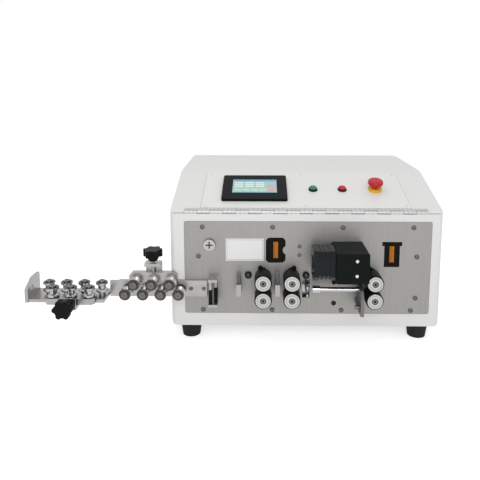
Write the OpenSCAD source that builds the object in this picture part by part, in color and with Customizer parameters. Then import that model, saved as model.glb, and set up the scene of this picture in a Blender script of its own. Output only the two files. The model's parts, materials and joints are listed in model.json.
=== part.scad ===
// Benchtop wire cutting and stripping machine.
// Wire enters at the left through two crossed roller straighteners, is drawn through the front
// plate's feed rollers, cut and stripped by two blades, and leaves through the output rollers.
// +X runs with the wire, +Y to the back, +Z up. The origin lies on the table, below the middle of
// the whole machine's box.

/* [Housing] */
// Width of the sheet metal housing
housing_w = 510; // [480:1:560]
// Depth of the housing
housing_d = 375; // [340:1:430]
// Height of the front wall, from the underside of the housing
front_h = 222; // [216:1:250]
// Height of the flat top, from the underside of the housing
top_h = 272; // [266:1:300]
// Depth of the sloping control panel
panel_run = 162; // [150:1:190]
// Thickness of the housing sheet
sheet_t = 2; // [1.5:0.1:2.5]
// Radius of the housing's outer corners
corner_r = 10; // [6:0.5:14]

/* [Feet] */
// Height of a rubber foot
foot_h = 28; // [20:1:36]
// Diameter of a foot at the housing
foot_top_d = 42; // [34:1:46]
// Diameter of a foot at the table
foot_tip_d = 34; // [26:1:38]
// Distance from a housing side to a foot's centre
foot_inset = 35; // [28:1:50]

/* [Front plate] */
// Width of the stainless front plate
plate_w = 462; // [450:1:470]
// Height of the front plate
plate_h = 180; // [176:1:186]
// Thickness of the front plate
plate_t = 4; // [3:0.5:5]
// Sideways offset of the front plate from the housing's middle
plate_x = 3; // [-4:1:6]
// Height of the plate's lower edge above the housing's underside
plate_rise = 25; // [20:1:28]

/* [Wire line] */
// Height of the wire above the table
wire_z = 110; // [104:1:116]
// Distance of the wire in front of the housing's front wall
wire_out = 21; // [20:0.5:23]

/* [Feed rollers] */
// Diameter of a feed roller
roller_d = 32; // [28:0.5:32]
// Length of a feed roller
roller_l = 32; // [26:1:34]
// Gap between the two rollers of a pair at rest
nip_gap = 0.8; // [0.6:0.1:2]
// Place of the first feed pair along the wire
feed_1_x = -80; // [-84:1:-76]
// Place of the second feed pair along the wire
feed_2_x = -27; // [-30:1:-24]
// Place of the output pair along the wire
output_x = 124; // [121:1:126]
// Diameter of a roller shaft
shaft_d = 12; // [10:1:14]

/* [Straightener] */
// Diameter of a straightener roller's flanges
idler_d = 22; // [19:0.5:22]
// Diameter at the bottom of a straightener roller's groove
groove_d = 14; // [12:0.5:15]
// Length of a straightener roller
idler_l = 18; // [15:0.5:19]
// Distance between neighbouring rollers in a row
idler_pitch = 33; // [31:0.5:36]
// Distance of a fixed roller's axis from the wire
idler_offset = 9.5; // [9:0.5:11]
// Further opening of the front row of the level straightener
level_opening = 6; // [4:0.5:8]
// Thickness of the straightener's plates
arm_t = 6; // [5:0.5:8]
// Travel of an adjusting screw each way
adjust_travel = 3; // [2:0.5:3]

/* [Controls] */
// Width of the touch screen's bezel
screen_w = 128; // [120:1:140]
// Height of the touch screen's bezel along the panel
screen_h = 95; // [90:1:106]
// Diameter of a push button's ring
button_d = 18; // [16:0.5:24]
// Diameter of the emergency stop's head
stop_head_d = 30; // [26:1:40]

/* [Hidden] */
$fn = 48;
// Gap between pieces that pass each other
gap = 0.4;
// Clearance on the radius of a turning fit
run_fit = 0.05;
// Overshoot of a cut past the face it starts from
past = 1;

// Housing heights above the table
floor_z = foot_h + sheet_t;
fold_z = foot_h + front_h;
crown_z = foot_h + top_h;
slope = atan2(top_h - front_h, panel_run);
slope_l = panel_run / cos(slope);
half_w = housing_w / 2;

// Vent slots in the side walls
vent_count = 9;
vent_pitch = 14;
vent_l = 60;
vent_w = 4;
vent_rise = 70;
vent_share = 0.45;

// Piano hinge along the front fold
knuckle_r = 2.8;
knuckle_pitch = 24;
hinge_y = knuckle_r + 0.6;
hinge_pin_r = 1;
leaf_t = 1;
leaf_w = 7;
hinge_margin = 14;
hinge_count = 2 * floor(((housing_w - 2 * hinge_margin) / knuckle_pitch - 1) / 2) + 1;
hinge_x0 = -hinge_count * knuckle_pitch / 2;
rim_z = fold_z - knuckle_r - 0.2;
hood_y0 = hinge_y + knuckle_r + gap;

// Front plate and the return flange that carries it
flange_w = 12;
plate_z0 = foot_h + plate_rise;
plate_x0 = plate_x - plate_w / 2;
plate_corner_r = 4;
wire_y = -wire_out;

// Bearing plate behind the front plate
bearing_y = 60;
bearing_t = 8;
bearing_edge = 34;
post_d = 14;
post_side = 24;
bearing_x = [feed_1_x - bearing_edge, output_x + bearing_edge];
bearing_top_z = wire_z + 84;

// Feed rollers: the lower one is driven, the upper one hangs on a swing arm
roller_r = roller_d / 2;
roller_front_y = wire_y - roller_l / 2;
roller_back_y = wire_y + roller_l / 2;
axis_rise = roller_r + nip_gap / 2;
upper_z = wire_z + axis_rise;
lower_z = wire_z - axis_rise;
stub_front_y = roller_front_y + 5;
cap_r = roller_r - 2;
cap_t = 1.6;
cap_screw_d = 9;
socket_d = 5;
stub_d = 8;
arm_reach = 28;
pivot_d = 9;
pivot_head_d = 13;
pivot_head_t = 3.5;
pivot_x = [feed_1_x - arm_reach, feed_2_x + arm_reach, output_x - arm_reach];
pivot_rise = 3;
eye_r = 8;
link_t = 6;
link_y = plate_t + 1;
slot_side = 2.5;
slot_up = 11;
slot_down = 3;
shield_t = 3;
shield_r = roller_r - 0.5;
ear_r = 4.5;
ear_side = 5;
ear_up = 17;

// Blades and their guide
blade_x = feed_2_x + arm_reach;
blade_t = 3;
blade_out = 13;
blade_open = 5;
blade_h = 5;
blade_travel = 4.6;
blade_slot_w = 14;
blade_slot_up = blade_open + blade_h + 1;
blade_slot_down = 26;
holder_w = 20;
holder_d = 20;
holder_h = 38;
holder_y = link_y + link_t + 3;
rail_t = 5;
guide_h = 100;

// Swing conduit between the blades and the output rollers
conduit_d = 9;
conduit_bore = 6.5;
conduit_x0 = blade_x + blade_slot_w / 2 + 3;
bracket_x = output_x - roller_r - 11;
bracket_t = 6;
bracket_drop = 42;
bracket_out = 46;
swing_pin_d = 10;
swing_pin_z = wire_z - 30;
clamp_d = 7;
clamp_l = 8;
clamp_y = wire_y - 10;

// Swing drive on the front plate
drive_w = 58;
drive_d = 70;
drive_h = 55;
drive_x1 = bracket_x + 9;
drive_z0 = wire_z + 30;
motor_w = 54;
motor_l = 39;
motor_chamfer = 9;
motor_y = -drive_d / 2 - 1;
motor_z = drive_z0 + drive_h / 2;

// Straightener
upright_x = -half_w - 31.5;
level_x = upright_x - 146;
block_w = 90;
idler_r = idler_d / 2;
idler_back = wire_out - idler_l / 2;
stud_d = 8;
stud_cap_d = 12;
stud_cap_t = 2;
shoulder_d = 12;
arm_z0 = wire_z - 22;
arm_z1 = wire_z + idler_offset;
arm_x1 = plate_x0 + 42;
arm_x0 = upright_x - 84.5;
arm_cut = 19;
notch_z = wire_z - 2;
block_gap = adjust_travel + 1;
upright_block_h = 25;
upright_top_z = notch_z + block_gap + upright_block_h;
ledge_rise = 39;
ledge_z = wire_z + ledge_rise;
ledge_t = 6;
bracket_w = 30;
brace_t = 5;
level_z0 = wire_z - wire_out;
level_screw_z = level_z0 + idler_back / 2;
level_reach = 78.5;
level_x0 = level_x - level_reach;
tab_l = 26;
level_back_y = 14;
level_front_y = wire_y + idler_offset - 6;
level_row_y = wire_y - idler_offset - level_opening;
level_block_d = 20;
level_block_y1 = level_row_y + idler_offset - 2;
level_block_y0 = level_block_y1 - level_block_d;
prong_y = level_block_y1 - 9;
lug_y = level_block_y0 - adjust_travel - 2;
lug_t = 5;
inlet_rise = 18;
inlet_out = 19;
inlet_t = 6;
inlet_bore = 12;
screw_d = 6;
screw_y = -idler_back / 2;
knob_d = 36;
knob_h = 22;
knob_lift = adjust_travel + 1;
screw_depth = 9;

// Entry guide and lock on the front plate
entry_x = plate_x0 + 55;
entry_w = 20;
entry_h = 53;
entry_t = 3;
entry_rod_d = 6;
entry_stagger = 4.5;
infeed_x = feed_1_x - 45;
middle_x = (feed_1_x + feed_2_x) / 2;
eyelet_w = 9;
eyelet_h = 22;
eyelet_bore_d = 7;
eyelet_spring_r = 4;
eyelet_coil_d = 2.4;
eyelet_coils = 9;
lock_x = plate_x0 + 47;
lock_z = plate_z0 + plate_h - 45;
lock_d = 22;
lock_shaft_d = 14;

// Scale windows of the two roller adjusters
window_w = 37;
window_h = 49;
window_x = [(feed_1_x + feed_2_x) / 2 - 3, output_x + 37];
window_z = [plate_z0 + plate_h - 55.5, plate_z0 + plate_h - 63];
window_back_t = 3;
scale_w = 9;
scale_h = 32;
window_step = 8;
window_lip = 4;

// Control panel, in the slope's own frame
panel_w = 396;
panel_y = [15, slope_l - 17];
panel_t = 1.2;
panel_lip = 10;
screen_x = -97;
screen_y = slope_l / 2 + 1;
screen_t = 6;
screen_box = [110, 80, 28];
display_w = 88;
display_h = 54;
display_up = 3;
button_x = [19.5, 77.5];
button_y = slope_l / 2 - 1;
button_ring_t = 3;
button_cap_d = 14;
button_barrel_d = 16;
button_barrel_l = 24;
button_push = 2.5;
stop_inset = 55.5;
stop_x = panel_w / 2 - stop_inset;
stop_collar_d = 27;
stop_collar_t = 6;
stop_stem_d = 12;
stop_push = 4;

// Inner pieces on the floor
supply = [160, 98, 42];
supply_room = 33;
supply_at = [40 - half_w, housing_d - supply_room - supply[1]];
board = [180, 110, 1.6];
board_post_h = 12;
board_edge = 10;
chip = [24, 24, 10];
chip_pitch = 40;
terminal_h = 12;
inlet_w = 48;
inlet_h = 28;
inlet_deep = 30;
inlet_rim = 2.5;
inlet_lip = 3;
socket_w = 26;
socket_h = 20;
rocker_w = 13;
rocker_h = 18;
board_at = [2 * board_edge, housing_d - inlet_deep - board[1]];
rear_inlet_x = half_w - 85;
rear_inlet_z = floor_z + 36;
stepper_w = 42;
stepper_l = 48;
stepper_edge = 4;
blade_motor_rise = 50;
blade_motor_z = wire_z + blade_motor_rise;

// Middle of the whole machine's box
left_x = level_x0 - inlet_t;
front_y = lug_y - lug_t - knob_lift - knob_h;
frame_x = (left_x + half_w) / 2;
frame_y = (front_y + housing_d + inlet_rim) / 2;

// Block between two opposite corners
module block(low, high) {
    translate(low) cube(high - low);
}

// Sketch in X and Z, pulled along Y
module along_y(y0, y1) {
    translate([0, y1, 0]) rotate([90, 0, 0]) linear_extrude(y1 - y0) children();
}

// Sketch in Y and Z, pulled along X
module along_x(x0, x1) {
    translate([x0, 0, 0]) rotate([90, 0, 90]) linear_extrude(x1 - x0) children();
}

// Round bars along each axis
module rod_y(x, z, y0, y1, d) {
    translate([x, y1, z]) rotate([90, 0, 0]) cylinder(d = d, h = y1 - y0);
}
module rod_z(x, y, z0, z1, d) {
    translate([x, y, z0]) cylinder(d = d, h = z1 - z0);
}
module rod_x(y, z, x0, x1, d) {
    translate([x0, y, z]) rotate([0, 90, 0]) cylinder(d = d, h = x1 - x0);
}

// Rectangle from a corner, with round corners
module round_rect(low, size, r) {
    translate([low[0] + r, low[1]]) square([size[0] - 2 * r, size[1]]);
    translate([low[0], low[1] + r]) square([size[0], size[1] - 2 * r]);
    for (x = [low[0] + r, low[0] + size[0] - r], y = [low[1] + r, low[1] + size[1] - r])
        translate([x, y]) circle(r);
}

// Bar with round ends between two points
module stadium(a, b, r) {
    run = b - a;
    translate(a) circle(r);
    translate(b) circle(r);
    translate(a) rotate(atan2(run[1], run[0])) translate([0, -r]) square([norm(run), 2 * r]);
}

// Two round eyes joined by a narrower bar
module link(a, b, r) {
    run = b - a;
    bar = 1.6 * r;
    translate(a) circle(r);
    translate(b) circle(r);
    translate(a) rotate(atan2(run[1], run[0])) translate([0, -bar / 2]) square([norm(run), bar]);
}

// Frame of the sloping panel: Y up the slope from the front fold, Z out of it
module on_slope() {
    translate([0, 0, fold_z]) rotate([slope, 0, 0]) children();
}

// Plan outline of housing and hood
module plan(z0, z1) {
    translate([0, 0, z0]) linear_extrude(z1 - z0)
        round_rect([-half_w, 0], [housing_w, housing_d], corner_r);
}

// Plan outline inside the sheet
module inner_plan(z0, z1) {
    translate([0, 0, z0]) linear_extrude(z1 - z0)
        round_rect([-half_w + sheet_t, sheet_t], [housing_w - 2 * sheet_t, housing_d - 2 * sheet_t],
                   corner_r - sheet_t);
}

module vents(y0, count, z, x) {
    for (i = [0:count - 1])
        along_x(x - sheet_t - past, x + sheet_t + past)
            stadium([y0 + i * vent_pitch, z], [y0 + i * vent_pitch, z + vent_l], vent_w / 2);
}

// Open-topped lower shell with a stepped window for the front plate
module housing() {
    color("whitesmoke") difference() {
        intersection() {
            plan(foot_h, rim_z);
            along_y(0, housing_d) union() {
                round_rect([-half_w, foot_h], [housing_w, front_h], corner_r);
                translate([-half_w, foot_h + front_h / 2]) square([housing_w, front_h / 2]);
            }
        }
        intersection() {
            inner_plan(floor_z - past, rim_z + past);
            along_y(plate_t + sheet_t, housing_d) union() {
                round_rect([-half_w + sheet_t, floor_z], [housing_w - 2 * sheet_t, front_h], corner_r - sheet_t);
                translate([-half_w + sheet_t, floor_z + front_h / 2])
                    square([housing_w - 2 * sheet_t, front_h]);
            }
        }
        along_y(-past, plate_t)
            round_rect([plate_x - plate_w / 2 - gap, plate_z0 - gap],
                       [plate_w + 2 * gap, plate_h + 2 * gap], plate_corner_r);
        along_y(-past, plate_t + sheet_t + past)
            round_rect([plate_x - plate_w / 2 + flange_w, plate_z0 + flange_w],
                       [plate_w - 2 * flange_w, plate_h - 2 * flange_w], plate_corner_r);
        for (side = [-1, 1])
            vents(housing_d * vent_share, vent_count, floor_z + vent_rise, side * (half_w - sheet_t / 2));
        along_y(housing_d - sheet_t - past, housing_d + past)
            translate([rear_inlet_x - inlet_w / 2 - gap, rear_inlet_z - inlet_h / 2 - gap])
                square([inlet_w + 2 * gap, inlet_h + 2 * gap]);
    }
}

module feet() {
    color("black") for (x = [-half_w + foot_inset, half_w - foot_inset],
                        y = [foot_inset - corner_r, housing_d - foot_inset + corner_r])
        translate([x, y, 0]) cylinder(d1 = foot_tip_d, d2 = foot_top_d, h = foot_h);
}

// Inner height of the sloping sheet at a depth
function slope_under(y) = fold_z + y * tan(slope) - sheet_t / cos(slope);

// Hood with the sloping panel, hinged along the front fold
module hood() {
    inner_y = hood_y0 + sheet_t;
    inner_top = crown_z - sheet_t;
    under_knee = (inner_top - fold_z + sheet_t / cos(slope)) / tan(slope);
    color("whitesmoke") difference() {
        intersection() {
            plan(rim_z, crown_z + past);
            along_x(-half_w, half_w) polygon([
                [hood_y0, rim_z + gap], [hood_y0, fold_z + hood_y0 * tan(slope)],
                [panel_run, crown_z], [housing_d, crown_z], [housing_d, rim_z + gap]]);
        }
        intersection() {
            inner_plan(rim_z - past, crown_z);
            along_x(-half_w, half_w) polygon([
                [inner_y, rim_z - past], [inner_y, slope_under(inner_y)], [under_knee, inner_top],
                [housing_d, inner_top], [housing_d, rim_z - past]]);
        }
        on_slope() block([-panel_w / 2 + panel_lip, panel_y[0] + panel_lip, -sheet_t - past],
                         [panel_w / 2 - panel_lip, panel_y[1] - panel_lip, past]);
    }
}

// Bored barrels of the moving leaf, between the fixed ones
module knuckles(bore_r) {
    for (i = [1:2:hinge_count - 1])
        difference() {
            x = hinge_x0 + i * knuckle_pitch;
            rod_x(hinge_y, fold_z, x + gap / 2, x + knuckle_pitch - gap / 2, 2 * knuckle_r);
            rod_x(hinge_y, fold_z, x - past, x + knuckle_pitch + past, 2 * bore_r);
        }
}

// Fixed barrels on the front wall's rim, with the pin pressed into them
module hinge_fixed_leaf() {
    hinge_l = hinge_count * knuckle_pitch;
    color("gainsboro") {
        for (i = [0:2:hinge_count - 1]) {
            x = hinge_x0 + i * knuckle_pitch;
            rod_x(hinge_y, fold_z, x + gap / 2, x + knuckle_pitch - gap / 2, 2 * knuckle_r);
            block([x + gap / 2, hinge_y - knuckle_r + gap, rim_z],
                  [x + knuckle_pitch - gap / 2, hinge_y + knuckle_r - gap, fold_z - knuckle_r / 2]);
        }
        rod_x(hinge_y, fold_z, hinge_x0 + gap, hinge_x0 + hinge_l - gap, 2 * hinge_pin_r);
    }
}

module hinge_moving_leaf() {
    strip_y = hood_y0 / cos(slope) + gap / 2;
    color("gainsboro") {
        knuckles(hinge_pin_r + run_fit);
        on_slope() linear_extrude(leaf_t) {
            translate([hinge_x0 + gap, strip_y]) square([hinge_count * knuckle_pitch - 2 * gap, leaf_w]);
            for (i = [1:2:hinge_count - 1])
                translate([hinge_x0 + i * knuckle_pitch + past, hinge_y + knuckle_r / 2])
                    square([knuckle_pitch - 2 * past, strip_y + past - hinge_y - knuckle_r / 2]);
        }
    }
}

// Outlines of the two scale windows: one with a thumb notch, one with a stepped head
module window_outline(i) {
    low = [window_x[i] - window_w / 2, window_z[i] - window_h / 2];
    if (i == 0)
        difference() {
            round_rect(low, [window_w, window_h], window_step);
            translate([window_x[i] + window_w / 2 + window_step / 3, window_z[i]]) circle(window_step);
        }
    else {
        translate([low[0], low[1] + window_h - window_step]) square([window_w, window_step]);
        translate([low[0] + window_step / 2, low[1]]) square([window_w - window_step, window_h]);
    }
}

// Black backing plates with a raised scale strip behind the two windows
module scale_windows() {
    color("black") for (i = [0, 1]) {
        along_y(plate_t, plate_t + window_back_t)
            translate([window_x[i] - window_w / 2 - window_lip, window_z[i] - window_h / 2 - window_lip])
                square([window_w + 2 * window_lip, window_h + 2 * window_lip]);
        along_y(plate_t / 2, plate_t)
            translate([window_x[i] - scale_w / 2, window_z[i] - scale_h / 2]) square([scale_w, scale_h]);
    }
}

// Sketch of the front plate's holes for shafts, arms, blades and the lock
module plate_holes() {
    for (x = [feed_1_x, feed_2_x, output_x]) {
        translate([x, lower_z]) circle(shaft_d / 2 + run_fit);
        stadium([x, upper_z - slot_down], [x, upper_z + slot_up], stub_d / 2 + slot_side);
    }
    for (x = pivot_x) translate([x, upper_z + pivot_rise]) circle(pivot_d / 2 + run_fit);
    translate([blade_x - blade_slot_w / 2, wire_z - blade_slot_down])
        square([blade_slot_w, blade_slot_down + blade_slot_up]);
    translate([bracket_x + bracket_t / 2, swing_pin_z]) circle(swing_pin_d / 2 + run_fit);
    translate([lock_x, lock_z]) circle(lock_shaft_d / 2 + run_fit);
    for (i = [0, 1]) window_outline(i);
}

module front_plate() {
    color("silver") along_y(0, plate_t) difference() {
        round_rect([plate_x - plate_w / 2, plate_z0], [plate_w, plate_h], plate_corner_r - gap);
        plate_holes();
    }
}

// Bearing plate on four posts, standing on the housing's floor
module bearing_frame() {
    color("lightgray") {
        along_y(bearing_y, bearing_y + bearing_t) difference() {
            translate([bearing_x[0], floor_z])
                square([bearing_x[1] - bearing_x[0], bearing_top_z - floor_z]);
            for (x = [feed_1_x, feed_2_x, output_x])
                translate([x, lower_z]) circle(shaft_d / 2 + run_fit);
        }
        for (x = [feed_1_x - post_side, output_x],
             z = [plate_z0 + flange_w + post_d / 2 + past, bearing_top_z - post_d])
            rod_y(x, z, plate_t, bearing_y, post_d);
    }
}

// Square motor body with a round end bell, its face on the bearing plate
module stepper(x, z) {
    back_y = bearing_y + bearing_t;
    along_y(back_y, back_y + stepper_l)
        intersection() {
            translate([x - stepper_w / 2, z - stepper_w / 2]) square(stepper_w);
            translate([x, z]) rotate(45) square(stepper_w * sqrt(2) - stepper_edge, center = true);
        }
    rod_y(x, z, back_y + stepper_l, back_y + stepper_l + stepper_edge, stepper_w / 2);
}

module stepper_motors() {
    color("dimgray") {
        for (x = [feed_1_x, feed_2_x, output_x]) stepper(x, lower_z);
        stepper(blade_x, blade_motor_z);
    }
}

// Caged supply with a slotted cover
module power_supply() {
    color("silver") difference() {
        block([supply_at[0], supply_at[1], floor_z],
              [supply_at[0] + supply[0], supply_at[1] + supply[1], floor_z + supply[2]]);
        for (i = [1:6])
            block([supply_at[0] + i * supply[0] / 7, supply_at[1] + supply[1] / 4, floor_z + supply[2] - past],
                  [supply_at[0] + i * supply[0] / 7 + vent_w, supply_at[1] + supply[1] * 3 / 4,
                   floor_z + supply[2] + past]);
    }
}

// Circuit board on four posts, with its driver chips and terminal rows
module control_board() {
    top_z = floor_z + board_post_h + board[2];
    color("seagreen") {
        block([board_at[0], board_at[1], top_z - board[2]],
              [board_at[0] + board[0], board_at[1] + board[1], top_z]);
        for (x = [board_at[0] + board_edge, board_at[0] + board[0] - board_edge],
             y = [board_at[1] + board_edge, board_at[1] + board[1] - board_edge])
            rod_z(x, y, floor_z, top_z, board_edge / 2);
        for (i = [0:3])
            translate([board_at[0] + 2 * board_edge + i * chip_pitch, board_at[1] + (board[1] - chip[1]) / 2, top_z])
                cube(chip);
        block([board_at[0] + 2 * board_edge, board_at[1] + board[1] - 2 * board_edge, top_z],
              [board_at[0] + board[0] - 2 * board_edge, board_at[1] + board[1] - board_edge, top_z + terminal_h]);
    }
}

// Mains socket with its rocker switch, let into the back wall
module power_inlet() {
    color("black") difference() {
        union() {
            along_y(housing_d - inlet_deep, housing_d)
                translate([rear_inlet_x - inlet_w / 2, rear_inlet_z - inlet_h / 2]) square([inlet_w, inlet_h]);
            along_y(housing_d, housing_d + inlet_rim)
                translate([rear_inlet_x - inlet_w / 2 - inlet_lip, rear_inlet_z - inlet_h / 2 - inlet_lip])
                    square([inlet_w + 2 * inlet_lip, inlet_h + 2 * inlet_lip]);
        }
        along_y(housing_d - inlet_deep / 2, housing_d + inlet_rim + past)
            translate([rear_inlet_x - inlet_w / 2 + inlet_lip, rear_inlet_z - socket_h / 2])
                square([socket_w, socket_h]);
        along_y(housing_d + inlet_rim - 1.5, housing_d + inlet_rim + past)
            translate([rear_inlet_x + inlet_w / 2 - inlet_lip - rocker_w, rear_inlet_z - rocker_h / 2])
                square([rocker_w, rocker_h]);
    }
}

// Roller body with its turned end cap and socket screw, along Y
module roller_body(x, z) {
    bevel = 1;
    translate([x, roller_back_y, z]) rotate([90, 0, 0]) difference() {
        rotate_extrude() polygon([
            [0, 0], [roller_r - bevel, 0], [roller_r, bevel], [roller_r, roller_l - bevel],
            [roller_r - bevel, roller_l], [cap_r, roller_l], [cap_r, roller_l + cap_t - bevel / 2],
            [cap_r - bevel / 2, roller_l + cap_t], [cap_screw_d / 2 + bevel, roller_l + cap_t],
            [cap_screw_d / 2 + bevel, roller_l + cap_t - bevel],
            [cap_screw_d / 2, roller_l + cap_t - bevel], [cap_screw_d / 2, roller_l + cap_t], [0, roller_l + cap_t]]);
        translate([0, 0, roller_l - bevel]) cylinder(d = socket_d, h = cap_t + 2 * bevel, $fn = 6);
    }
}

// Driven roller, fixed on a shaft that runs back to the bearing plate
module lower_roller(x) {
    color("dimgray") {
        roller_body(x, lower_z);
        rod_y(x, lower_z, roller_back_y - past, bearing_y + bearing_t - gap, shaft_d);
    }
}

// Pressure roller, free on its arm's stub
module upper_roller(x) {
    color("dimgray") difference() {
        roller_body(x, upper_z);
        rod_y(x, upper_z, stub_front_y - gap, roller_back_y + past, stub_d + 2 * run_fit);
    }
}

// Swing arm behind the plate, with its pivot bolt, roller stub and black shield in front
module swing_arm(x, side) {
    pivot = [x + side * arm_reach, upper_z + pivot_rise];
    color("black") {
        along_y(link_y, link_y + link_t) link(pivot, [x, upper_z], eye_r);
        rod_y(pivot[0], pivot[1], -gap - pivot_head_t, link_y + past, pivot_d);
        rod_y(pivot[0], pivot[1], -gap - pivot_head_t, -gap, pivot_head_d);
        rod_y(x, upper_z, stub_front_y, link_y + past, stub_d);
        along_y(-past - shield_t, -past) {
            translate([x, upper_z]) circle(shield_r);
            link([x, upper_z], [x + side * ear_side, upper_z + ear_up], ear_r);
        }
    }
}

// Blade with a vee over the wire, clamped in a holder that runs in the guide
module blade(sign) {
    edge_z = wire_z + sign * blade_open;
    vee = blade_h * 0.6;
    color("lightsteelblue") {
        along_x(blade_x - blade_t / 2, blade_x + blade_t / 2) polygon([
            [wire_y - blade_out, edge_z], [wire_y - vee, edge_z], [wire_y, edge_z + sign * vee],
            [wire_y + vee, edge_z], [holder_y + past, edge_z],
            [holder_y + past, edge_z + sign * blade_h], [wire_y - blade_out, edge_z + sign * blade_h]]);
        block([blade_x - holder_w / 2, holder_y, min(edge_z, edge_z + sign * holder_h)],
              [blade_x + holder_w / 2, holder_y + holder_d, max(edge_z, edge_z + sign * holder_h)]);
    }
}

// Channel for the two blade holders, on the bearing plate
module blade_guide() {
    inner_w = holder_w / 2 + gap;
    low = [blade_x - inner_w - rail_t, holder_y, wire_z - guide_h / 2];
    high = [blade_x + inner_w + rail_t, bearing_y, wire_z + guide_h / 2];
    color("gray") difference() {
        block(low, high);
        block([blade_x - inner_w, holder_y - past, low[2] - past],
              [blade_x + inner_w, holder_y + holder_d + gap, high[2] + past]);
    }
}

module conduit() {
    collar_l = 14;
    color("silver") difference() {
        union() {
            rod_x(wire_y, wire_z, conduit_x0, bracket_x, conduit_d);
            rod_x(wire_y, wire_z, conduit_x0, conduit_x0 + collar_l, conduit_d + 5);
        }
        rod_x(wire_y, wire_z, conduit_x0 - past, bracket_x + past, conduit_bore);
    }
}

// Upright plate that carries the conduit and swings on a pin in the front plate
module conduit_bracket() {
    pin_x = bracket_x + bracket_t / 2;
    top_z = wire_z + conduit_d;
    back_y = -past;
    color("gray") {
        difference() {
            along_x(bracket_x, bracket_x + bracket_t) polygon([
                [back_y, swing_pin_z], [back_y, top_z], [wire_y - conduit_d, top_z],
                [-bracket_out, wire_z - conduit_d], [-bracket_out, wire_z - bracket_drop],
                [wire_y, wire_z - bracket_drop]]);
            rod_x(wire_y, wire_z, bracket_x - past, bracket_x + bracket_t + past, conduit_bore);
        }
        rod_y(pin_x, swing_pin_z, wire_y, back_y, swing_pin_d + 4);
        rod_y(pin_x, swing_pin_z, wire_y, plate_t + gap + past, swing_pin_d);
        rod_y(pin_x, swing_pin_z, plate_t + gap, plate_t + gap + 4, swing_pin_d + 4);
        rod_x(clamp_y, swing_pin_z, bracket_x - clamp_l, bracket_x + past, clamp_d);
    }
}

// Gear housing bolted to the front plate, with broken edges
module swing_gearbox() {
    edge = 2;
    color("black") along_y(-drive_d, 0) polygon([
        [drive_x1 - drive_w + edge, drive_z0], [drive_x1 - edge, drive_z0],
        [drive_x1, drive_z0 + edge], [drive_x1, drive_z0 + drive_h - edge],
        [drive_x1 - edge, drive_z0 + drive_h], [drive_x1 - drive_w + edge, drive_z0 + drive_h],
        [drive_x1 - drive_w, drive_z0 + drive_h - edge], [drive_x1 - drive_w, drive_z0 + edge]]);
}

// Square sketch with cut corners, about the motor's axis
module motor_outline(w) {
    h = w / 2;
    c = motor_chamfer;
    translate([motor_y, motor_z]) polygon([
        [-h + c, -h], [h - c, -h], [h, -h + c], [h, h - c], [h - c, h], [-h + c, h], [-h, h - c], [-h, -h + c]]);
}

// Motor of the swing drive: end bells with a ribbed stack between them
module swing_motor() {
    x0 = drive_x1 - drive_w - motor_l;
    bell = motor_l / 4;
    rib = (motor_l - 2 * bell) / 5;
    color([0.13, 0.15, 0.15]) {
        along_x(x0, x0 + bell) motor_outline(motor_w);
        along_x(x0 + motor_l - bell, x0 + motor_l) motor_outline(motor_w);
        along_x(x0 + bell - past, x0 + motor_l - bell + past) motor_outline(motor_w - 4);
        for (i = [1, 3])
            along_x(x0 + bell + i * rib, x0 + bell + (i + 1) * rib) motor_outline(motor_w - 1);
        rod_x(motor_y, motor_z, x0 - 2, x0 + past, motor_w / 2);
    }
}

// Quarter-turn lock with a cross slot and a cam behind the plate
module panel_lock() {
    head_t = 4;
    cam_y = plate_t + 8;
    color("silver") {
        difference() {
            rod_y(lock_x, lock_z, -gap - head_t, -gap, lock_d);
            for (turn = [0, 90])
                translate([lock_x, -gap - head_t, lock_z]) rotate([0, turn, 0])
                    cube([lock_d * 0.6, 2, 2.4], center = true);
        }
        rod_y(lock_x, lock_z, -gap - past, cam_y + past, lock_shaft_d);
        along_y(cam_y, cam_y + 3) stadium([lock_x, lock_z], [lock_x, lock_z - lock_d], lock_d / 4);
    }
}

// Two guide rods on a dark backing plate, where the wire reaches the front plate
module entry_guide() {
    z0 = wire_z + 21 - entry_h;
    lip_w = 2 * entry_stagger + entry_rod_d + 2;
    lip_t = 5;
    color("dimgray") {
        block([entry_x - entry_w / 2, -entry_t, z0], [entry_x + entry_w / 2, 0, z0 + entry_h]);
        for (z = [z0, z0 + entry_h - lip_t])
            block([entry_x - lip_w / 2, wire_y - entry_rod_d - 5, z],
                  [entry_x + lip_w / 2, -entry_t / 2, z + lip_t]);
        for (side = [-1, 1])
            rod_z(entry_x + side * entry_stagger, wire_y + side * entry_rod_d,
                  z0 + past, z0 + entry_h - past, entry_rod_d);
    }
}

// Wire guide at a feed pair: a drilled block on the plate under a close-wound spring
module wire_guide(x) {
    z0 = wire_z - eyelet_h / 2;
    color("silver") {
        difference() {
            block([x - eyelet_w / 2, wire_y - eyelet_w, z0], [x + eyelet_w / 2, 0, z0 + eyelet_h]);
            rod_x(wire_y, wire_z, x - eyelet_w, x + eyelet_w, eyelet_bore_d);
        }
        translate([x, wire_y, z0 + eyelet_h - past]) rotate_extrude() polygon(concat(
            [[0, 0]],
            [for (i = [0:2 * eyelet_coils])
                [eyelet_spring_r - (i % 2 == 0 ? eyelet_coil_d / 3 : 0), past + i * eyelet_coil_d / 2]],
            [[0, past + eyelet_coils * eyelet_coil_d]]));
    }
}

// Grooved idler on its bore, along Z from the origin
module idler() {
    bore_r = stud_d / 2 + run_fit;
    groove_r = groove_d / 2;
    rim = idler_l / 5;
    bevel = 1;
    color("silver") rotate_extrude() polygon([
        [bore_r, 0], [idler_r - bevel, 0], [idler_r, bevel], [idler_r, rim],
        [groove_r, rim + (idler_r - groove_r) * 0.7], [groove_r, idler_l - rim - (idler_r - groove_r) * 0.7],
        [idler_r, idler_l - rim], [idler_r, idler_l - bevel], [idler_r - bevel, idler_l], [bore_r, idler_l]]);
}

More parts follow.
